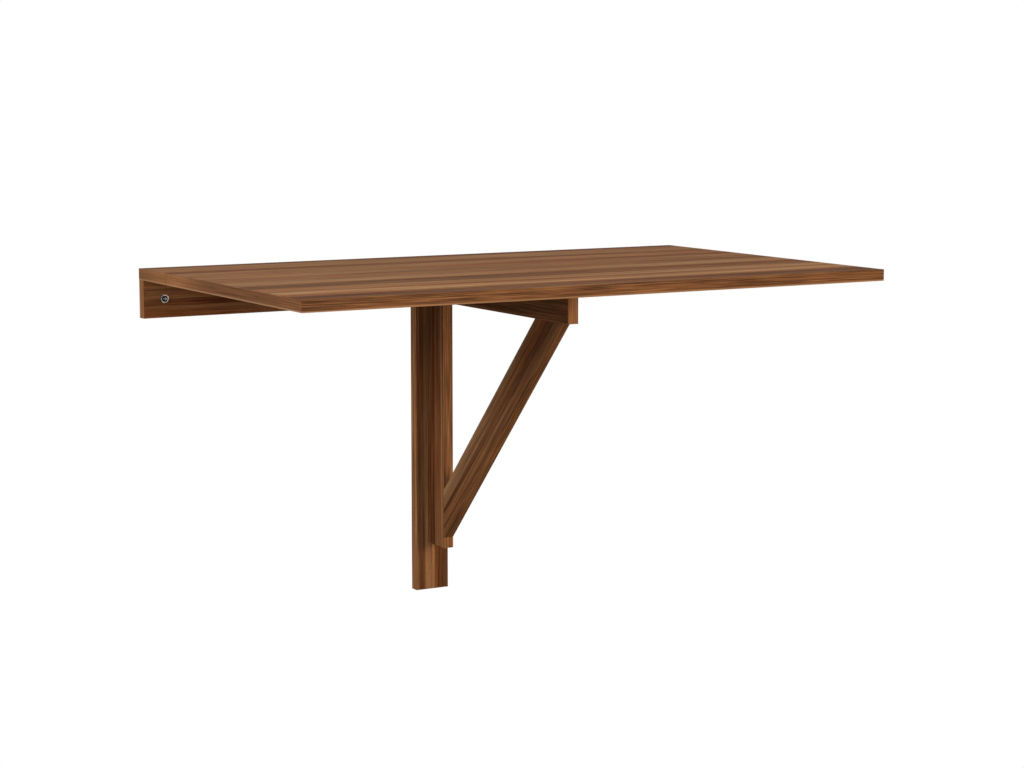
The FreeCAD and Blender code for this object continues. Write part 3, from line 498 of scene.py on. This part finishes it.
def plated_steel(name, roughness, inks):
    """
    Steel with a thin finish, which is cloudy with spangle and has rubbed scratches. These are drawn
    coarser than real ones, so that they show.
    """
    material, tree = new_material(name)
    place = add(tree, "TexCoord").outputs["Object"]
    cloud = add(tree, "TexNoise", {"Vector": place, "Scale": 1 / (SPANGLE * MM), "Detail": 4.0})
    tint = add(tree, "ValToRGB", {0: cloud.outputs[0]}, stops=inks)
    lines = fibres(tree, place, [measure * MM for measure in SCRATCH_SIZE], Detail=2.0)
    smooth, dull = roughness - SMOOTHER, roughness + ROUGHER
    rough = add(tree, "MapRange", {0: lines, 1: NOISE_LOW, 2: NOISE_HIGH, 3: smooth, 4: dull})
    surfaced(tree, tint.outputs[0], rough.outputs[0], lines, STEEL_RELIEF, {"Metallic": 1.0})
    return material


dress(
    plated_steel("zinc_plated_steel_sheet", 0.34, SHEET_ZINC),
    "leaf_hinge_strip_plates",
    "leaf_hinge_leaf_plates",
    "swing_hinge_post_plates",
    "swing_hinge_upright_plates",
    "angle_brackets",
)
zinc_turned = plated_steel("blue_zinc_plated_screws", 0.36, SCREW_ZINC)
dress(
    zinc_turned,
    "leaf_hinge_pins",
    "leaf_hinge_screws",
    "swing_hinge_pins",
    "swing_hinge_post_screws",
    "swing_hinge_upright_screws",
    "angle_bracket_screws",
)


# ---------------------------------------------------------------------------------------------------
# The wall screws: 5 mm wood screws, cold headed with a tapered cross recess, thread rolled and blue
# zinc plated. The two at the rail's ends have a blackened pan head on a pressed washer; the two in the
# post are countersunk flush, behind the bracket.

SHANK_RADIUS, CREST_RADIUS, CORE_RADIUS = 2.3, 2.5, 1.7
THREAD_PITCH, RIDGE_BREADTH, RIDGE_SUNK, SHANK_NECK, SCREW_TIP = 2.4, 1.5, 0.1, 1, 6
RECESS_REACH, RECESS_BREADTH, RECESS_DEPTH, RECESS_TAPER = 3.1, 1.7, 1.9, 0.5
FLAT_RADIUS = 3.4
ROUND_STEPS, THREAD_STEPS = 48, 20

# Points nearer to each other than this many millimetres are welded, and an edge that turns by more
# than this angle stays sharp.
WELD, SHARP = 0.001, math.radians(35)
INTO_THE_WALL = Vector((0, 1, 0))

# The places of a screw's metals in its list: the shank's, the recess's and the pan head's.
SHANK_METAL, RECESS_METAL, HEAD_METAL = range(3)


def turned(outline):
    """A solid turned about Y, in millimetres, from points (radius, place along Y)."""
    bm = bmesh.new()
    points = [bm.verts.new((radius, along, 0)) for radius, along in outline]
    edges = [bm.edges.new(pair) for pair in zip(points, points[1:])]
    bmesh.ops.spin(
        bm,
        geom=points + edges,
        cent=(0, 0, 0),
        axis=(0, 1, 0),
        angle=math.tau,
        steps=ROUND_STEPS,
        use_merge=True,
    )
    bmesh.ops.remove_doubles(bm, verts=bm.verts, dist=WELD)
    return bm


def cross_recess(bm):
    """Closes the open flat of a screw's head round a cross that narrows towards its bottom."""
    rim = [edge for edge in bm.edges if edge.is_boundary]
    face_place = rim[0].verts[0].co.y
    half = RECESS_BREADTH / 2
    arm_of_cross = ((RECESS_REACH, -half), (RECESS_REACH, half), (half, half))
    corners = [
        bm.verts.new(Matrix.Rotation(-turn * math.pi / 2, 3, "Y") @ Vector((x, face_place, z)))
        for turn in range(4)
        for x, z in arm_of_cross
    ]
    cross = [bm.edges.new((corners[n - 1], corners[n])) for n in range(len(corners))]
    bmesh.ops.triangle_fill(bm, use_beauty=True, edges=rim + cross, normal=(0, -1, 0))
    walls = bmesh.ops.extrude_edge_only(bm, edges=cross)["geom"]
    bottom = [item for item in walls if isinstance(item, bmesh.types.BMVert)]
    bmesh.ops.scale(bm, verts=bottom, vec=(RECESS_TAPER, 1, RECESS_TAPER))
    bmesh.ops.translate(bm, verts=bottom, vec=(0, RECESS_DEPTH, 0))
    floor = bmesh.ops.edgeloop_fill(bm, edges=[edge for edge in bm.edges if edge.is_boundary])["faces"]
    for face in floor + [item for item in walls if isinstance(item, bmesh.types.BMFace)]:
        face.material_index = RECESS_METAL


def screw_thread(start, end):
    """The ridge rolled round a screw's core: a triangle wound along Y, which dies away at the tip."""
    bm = bmesh.new()
    root = CORE_RADIUS - RIDGE_SUNK
    ridge = ((root, start), (CREST_RADIUS, start + RIDGE_BREADTH / 2), (root, start + RIDGE_BREADTH))
    bm.faces.new([bm.verts.new((radius, along, 0)) for radius, along in ridge])
    turns = (end - start - RIDGE_BREADTH) / THREAD_PITCH
    bmesh.ops.spin(
        bm,
        geom=bm.verts[:] + bm.edges[:] + bm.faces[:],
        cent=(0, 0, 0),
        axis=(0, 1, 0),
        dvec=(0, THREAD_PITCH / THREAD_STEPS, 0),
        angle=math.tau * turns,
        steps=round(turns * THREAD_STEPS),
    )
    for vert in bm.verts:
        left = min(1, (end - vert.co.y) / SCREW_TIP)
        vert.co = (vert.co.x * left, vert.co.y, vert.co.z * left)
    return bm


def wood_screw(head, board, reach):
    """A screw along Y, in millimetres: its head's outline, the board it holds, its reach behind it."""
    end = board + reach
    core = (
        (SHANK_RADIUS, board),
        (CORE_RADIUS, board + SHANK_NECK),
        (CORE_RADIUS, end - SCREW_TIP),
        (0, end),
    )
    bm = turned(head + core)
    cross_recess(bm)
    thread = screw_thread(board, end)
    ridge = bpy.data.meshes.new("ridge")
    thread.to_mesh(ridge)
    thread.free()
    bm.from_mesh(ridge)
    bpy.data.meshes.remove(ridge)
    return bm


def fitted(name, bm, spots, materials, body, node):
    """
    One piece of the table from copies of a model made along Y in millimetres. Each spot is a point
    in metres and the way that the model's Y turns to.
    """
    bmesh.ops.recalc_face_normals(bm, faces=bm.faces)
    for face in bm.faces:
        face.smooth = True
    for edge in bm.edges:
        edge.smooth = edge.calc_face_angle(math.pi) < SHARP
    model = bpy.data.meshes.new("model")
    bm.to_mesh(model)
    bm.clear()
    for point, way in spots:
        turn = Vector((0, 1, 0)).rotation_difference(way).to_matrix().to_4x4()
        copy = model.copy()
        copy.transform(Matrix.Translation(point) @ turn @ Matrix.Scale(MM, 4))
        bm.from_mesh(copy)
        bpy.data.meshes.remove(copy)
    bpy.data.meshes.remove(model)
    mesh = bpy.data.meshes.new(name)
    bm.to_mesh(mesh)
    bm.free()
    for material in materials:
        mesh.materials.append(material)
    piece = bpy.data.objects.new(name, mesh)
    bpy.context.scene.collection.objects.link(piece)
    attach(piece, body)
    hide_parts(node)


# Painted shade: the post screws' recesses are near black, standing in for the shade deep inside them.
# The pan heads were blackened, and their recesses are a pale steel standing in for glints, a painted
# highlight.
# Painted shade: near-black steel for the post screws' recesses.
RECESS_SHADE = ((0.0, "#0d0e0f"), (0.5, "#17191b"), (1.0, "#222528"))
BLACKENED = ((0.0, "#15171a"), (0.5, "#212427"), (1.0, "#303437"))
# Painted highlight: pale steel for the rail screws' recesses, standing in for glints of light in them.
RECESS_GLINT = ((0.0, "#a9adb0"), (0.5, "#c6c9cb"), (1.0, "#dfe1e2"))
shaded_recess = plated_steel("painted_shade_recess", 0.55, RECESS_SHADE)
blackened_head = plated_steel("blackened_screw_head", 0.40, BLACKENED)
glinting_recess = plated_steel("painted_glint_steel", 0.50, RECESS_GLINT)

# The outlines run from the flat that the recess is cut in to the shank: radius, and the place along Y
# from the board's front. The pan head stands in front of its foot, and the washer behind it.
board_front = -BOARD_THICKNESS * MM
low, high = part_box("rail_wall_screws")
head_front, washer_radius = low.y / MM + BOARD_THICKNESS, high.z / MM
HEAD_FOOT = -1.3
PAN_ON_WASHER = (
    (FLAT_RADIUS, head_front),
    (3.9, head_front + 0.1),
    (4.3, head_front + 0.4),
    (4.6, head_front + 1.1),
    (4.6, -1.15),
    (5.1, -1.0),
    (6.2, -1.2),
    (6.8, -1.1),
    (washer_radius, -0.8),
    (washer_radius, -0.2),
    (6.8, 0),
    (2.6, 0),
    (SHANK_RADIUS, 0.3),
)
rail_screw = wood_screw(PAN_ON_WASHER, BOARD_THICKNESS, high.y / MM)
for face in rail_screw.faces:
    if face.material_index == SHANK_METAL and face.calc_center_median().y < HEAD_FOOT:
        face.material_index = HEAD_METAL
fitted(
    "threaded_rail_screws",
    rail_screw,
    [
        (Vector((side * (high.x - high.z), board_front, (low.z + high.z) / 2)), INTO_THE_WALL)
        for side in (-1, 1)
    ],
    (zinc_turned, glinting_recess, blackened_head),
    "wall_frame",
    "rail_wall_screws",
)

low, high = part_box("post_wall_screws")
head_radius = (high.x - low.x) / 2
COUNTERSUNK = (
    (FLAT_RADIUS, 0),
    (head_radius / MM - 0.15, 0),
    (head_radius / MM, 0.12),
    (head_radius / MM, 0.3),
    (SHANK_RADIUS, 3.0),
)
fitted(
    "threaded_post_screws",
    wood_screw(COUNTERSUNK, BOARD_THICKNESS, high.y / MM),
    [
        (Vector((low.x + head_radius, board_front, height)), INTO_THE_WALL)
        for height in (low.z + head_radius, high.z - head_radius)
    ],
    (zinc_turned, shaded_recess),
    "wall_frame",
    "post_wall_screws",
)


# ---------------------------------------------------------------------------------------------------
# Beech dowels: 8 mm pegs, turned, fluted so that the glue can spread, and chamfered at both ends. Each
# stands partly in one board and partly in the next, glued, so they are out of sight.

BEECH = ((0.0, "#b98f61"), (0.5, "#cfa878"), (1.0, "#dcbc90"))
FLECK_BREADTH, FLECK_LENGTH = 0.35, 2.4
BEECH_ROUGHNESS, BEECH_RELIEF = 0.72, (0.4, 0.05)
DOWEL_RADIUS, DOWEL_LENGTH, DOWEL_CHAMFER, FLUTE_DEPTH = 4.0, 36.0, 1.0, 0.25
STRIP_DOWEL_PLACES = (-200, -50, 50, 200)
BRACE_DOWEL_STEP = 30

# Beech is a pale pinkish wood with short darker flecks, left raw.
beech, tree = new_material("turned_beech")
fleck_size = (FLECK_BREADTH * MM, FLECK_LENGTH * MM, FLECK_LENGTH * MM)
flecks = fibres(tree, add(tree, "TexCoord").outputs["Object"], fleck_size, Detail=3.0)
tint = add(tree, "ValToRGB", {0: flecks}, stops=BEECH)
surfaced(tree, tint.outputs[0], BEECH_ROUGHNESS, flecks, BEECH_RELIEF, {})


def fluted_dowel():
    """A dowel along Y, its middle at the origin: every second line of its side is pressed in."""
    half = DOWEL_LENGTH / 2
    neck = DOWEL_RADIUS - DOWEL_CHAMFER
    side = [(DOWEL_RADIUS, DOWEL_CHAMFER - half), (DOWEL_RADIUS, half - DOWEL_CHAMFER)]
    bm = turned([(0, -half), (neck, -half)] + side + [(neck, half), (0, half)])
    pressed = (DOWEL_RADIUS - FLUTE_DEPTH) / DOWEL_RADIUS
    for vert in bm.verts:
        line = round(math.atan2(vert.co.x, vert.co.z) / math.tau * ROUND_STEPS)
        if line % 2 and abs(vert.co.y) < half:
            vert.co = (vert.co.x * pressed, vert.co.y, vert.co.z * pressed)
    return bm


radius, half = DOWEL_RADIUS * MM, DOWEL_LENGTH / 2 * MM

low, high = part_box("post_dowels")
middle = (low + high) / 2
spots = [(Vector((x, middle.y, middle.z)), UPWARDS) for x in (low.x + radius, high.x - radius)]
fitted("fluted_post_dowels", fluted_dowel(), spots, (beech,), "wall_frame", "post_dowels")

low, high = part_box("strip_dowels")
middle = (low + high) / 2
places = [low.x + radius] + [place * MM for place in STRIP_DOWEL_PLACES] + [high.x - radius]
spots = [(Vector((x, middle.y, middle.z)), UPWARDS) for x in places]
fitted("fluted_strip_dowels", fluted_dowel(), spots, (beech,), "wall_frame", "strip_dowels")

low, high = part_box("arm_dowels")
middle = (low + high) / 2
spots = [(Vector((middle.x, y, middle.z)), UPWARDS) for y in (low.y + radius, high.y - radius)]
fitted("fluted_arm_dowels", fluted_dowel(), spots, (beech,), "swing_bracket", "arm_dowels")

# The brace has two dowels up into the arm and two level ones into the upright.
low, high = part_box("brace_dowels")
middle = (low + high) / 2
steps = (radius, radius + BRACE_DOWEL_STEP * MM)
spots = [(Vector((middle.x, low.y + step, high.z - half)), UPWARDS) for step in steps]
spots += [(Vector((middle.x, high.y - half, low.z + step)), INTO_THE_WALL) for step in steps]
fitted("fluted_brace_dowels", fluted_dowel(), spots, (beech,), "swing_bracket", "brace_dowels")


# ---------------------------------------------------------------------------------------------------
# The glide: a button of moulded brown nylon, nailed through a dished hole to the arm's top near its
# end. It runs a hair under the leaf and takes its load, so that the arm doesn't rub the leaf.

NYLON_TINTS = ((0.3, "#3a2517"), (0.7, "#4d3322"))
NYLON_GRIT, NYLON_ROUGHNESS, NYLON_RELIEF = 0.6, 0.42, (0.15, 0.03)
NYLON = {"IOR": 1.53, "Subsurface Weight": 0.1, "Subsurface Scale": 1.5 * MM}
GLIDE_HEIGHT, RUNNING_GAP, NAIL_RADIUS, NAIL_POINT = 5, 0.05, 1.0, 2.0

# Moulded nylon is smooth and a little waxy, with a fine grit from its mould, which is drawn coarser
# than it is so that it shows.
nylon, tree = new_material("moulded_brown_nylon")
place = add(tree, "TexCoord").outputs["Object"]
grit = add(tree, "TexNoise", {"Vector": place, "Scale": 1 / (NYLON_GRIT * MM), "Detail": 2.0}).outputs[0]
tint = add(tree, "ValToRGB", {0: grit}, stops=NYLON_TINTS)
surfaced(tree, tint.outputs[0], NYLON_ROUGHNESS, grit, NYLON_RELIEF, NYLON)

# Both outlines are (radius, height over the arm). The nail's point ends below the button's foot.
low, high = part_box("arm_glide")
glide_radius = (high.x - low.x) / 2 / MM
nail_foot = (high.z - low.z) / MM - GLIDE_HEIGHT
crown = GLIDE_HEIGHT - RUNNING_GAP
BUTTON = (
    (NAIL_RADIUS, 0),
    (glide_radius - 0.3, 0),
    (glide_radius, 0.3),
    (glide_radius, 3.8),
    (glide_radius - 0.1, 4.3),
    (glide_radius - 0.4, 4.7),
    (glide_radius - 0.7, 4.88),
    (glide_radius - 1.2, crown),
    (3.6, crown),
    (3.3, 4.8),
    (2.5, 3.2),
    (NAIL_RADIUS, 3.1),
    (NAIL_RADIUS, 0),
)
NAIL = (
    (0, -nail_foot),
    (NAIL_RADIUS, NAIL_POINT - nail_foot),
    (NAIL_RADIUS, 3.1),
    (2.1, 3.3),
    (2.1, 3.7),
    (1.4, 4.0),
    (0, 4.1),
)
spots = [(Vector(((low.x + high.x) / 2, (low.y + high.y) / 2, high.z - GLIDE_HEIGHT * MM)), UPWARDS)]
fitted("nylon_glide_button", turned(BUTTON), spots, (nylon,), "swing_bracket", "arm_glide")
fitted("glide_nail", turned(NAIL), spots, (zinc_turned,), "swing_bracket", "arm_glide")


# ---------------------------------------------------------------------------------------------------
# The studio: a white sweep that reads as plain pale floor and background, a dome of light, and three
# soft lights: a warm one in front on the right, a cool one on the left and a cool one low on the front
# left. The table hangs with its top 750 mm above the floor.

TABLE_HEIGHT = 0.75
FLOOR_HALF = 20.0
bm = bmesh.new()
bmesh.ops.create_grid(bm, x_segments=1, y_segments=1, size=FLOOR_HALF)
bmesh.ops.translate(bm, verts=bm.verts, vec=(0, 0, cad_high.z - TABLE_HEIGHT))
floor_mesh = bpy.data.meshes.new("studio_floor")
bm.to_mesh(floor_mesh)
bm.free()
floor = bpy.data.objects.new("studio_floor", floor_mesh)
bpy.context.scene.collection.objects.link(floor)
floor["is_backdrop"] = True

# Seen directly the floor is as white as the sweep; it throws little light back, and from below it
# lets the view through.
sweep, tree = new_material("painted_white_sweep")
seen = add(tree, "LightPath").outputs["Is Camera Ray"]
below = add(tree, "NewGeometry").outputs["Backfacing"]
white = add(tree, "Emission", {"Color": (1, 1, 1, 1), "Strength": 1.0})
dim = add(tree, "BsdfDiffuse", {"Color": linear("#8c8c8c")})
sight = add(tree, "MixShader", {0: seen, 1: dim.outputs[0], 2: white.outputs[0]})
clear = add(tree, "BsdfTransparent")
sided = add(tree, "MixShader", {0: below, 1: sight.outputs[0], 2: clear.outputs[0]})
add(tree, "OutputMaterial", {"Surface": sided.outputs[0]})
floor_mesh.materials.append(sweep)

# The dome's light, from straight below to straight above. The view sees plain white instead.
DOME_LIGHT = ((0.0, "#6a655e"), (0.45, "#c8c0b6"), (0.60, "#e8e0d6"), (1.0, "#fff8f0"))
DOME_STRENGTH = 0.78
world = bpy.data.worlds.new("studio_sweep")
bpy.context.scene.world = world
world.use_nodes = True
tree = world.node_tree
tree.nodes.clear()
direction = add(tree, "SeparateXYZ", {0: add(tree, "TexCoord").outputs["Generated"]})
height = add(tree, "MapRange", {0: direction.outputs[2], 1: -1.0, 2: 1.0})
dome = add(tree, "ValToRGB", {0: height.outputs[0]}, stops=DOME_LIGHT)
lighting = add(tree, "Background", {"Color": dome.outputs[0], "Strength": DOME_STRENGTH})
backdrop = add(tree, "Background", {"Color": (1, 1, 1, 1), "Strength": 1.0})
seen = add(tree, "LightPath").outputs["Is Camera Ray"]
mixed = add(tree, "MixShader", {0: seen, 1: lighting.outputs[0], 2: backdrop.outputs[0]})
add(tree, "OutputWorld", {"Surface": mixed.outputs[0]})

TABLE_MIDDLE = Vector((0, -0.25, -0.10))


def softbox(name, place, width, watts, colour):
    """A square soft light that looks at the middle of the table."""
    light = bpy.data.lights.new(name, "AREA")
    light.color = linear(colour)[:3]
    light.shape = "SQUARE"
    light.size = width
    light.energy = watts
    lamp = bpy.data.objects.new(name, light)
    lamp.location = place
    lamp.rotation_euler = (Vector(place) - TABLE_MIDDLE).to_track_quat("Z", "Y").to_euler()
    bpy.context.scene.collection.objects.link(lamp)


softbox("front_softbox", (1.2, -3.4, 0.35), 1.0, 44, "#ffe8cc")
softbox("left_softbox", (-3.0, -1.2, 1.0), 0.8, 48, "#e2eaff")
softbox("low_fill", (-2.4, -2.4, -0.6), 1.2, 26, "#e6edff")

bpy.context.scene.view_settings.view_transform = "Standard"

# The camera looks down a little from the left, so both the top and the left faces show. Its angles
# are in degrees, and its lens and sensor in millimetres.
CAMERA_PLACE = (-1.86161, -3.52139, 0.35744)
CAMERA_YAW, CAMERA_PITCH = 30.0601, 7.5217
LENS, SENSOR_WIDTH = 83.7942, 36
camera = bpy.data.objects.new("camera", bpy.data.cameras.new("camera"))
camera.location = CAMERA_PLACE
camera.rotation_euler = (math.radians(90 - CAMERA_PITCH), 0, math.radians(-CAMERA_YAW))
camera.data.sensor_width = SENSOR_WIDTH
camera.data.lens = LENS
bpy.context.scene.collection.objects.link(camera)
bpy.context.scene.camera = camera

low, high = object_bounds()
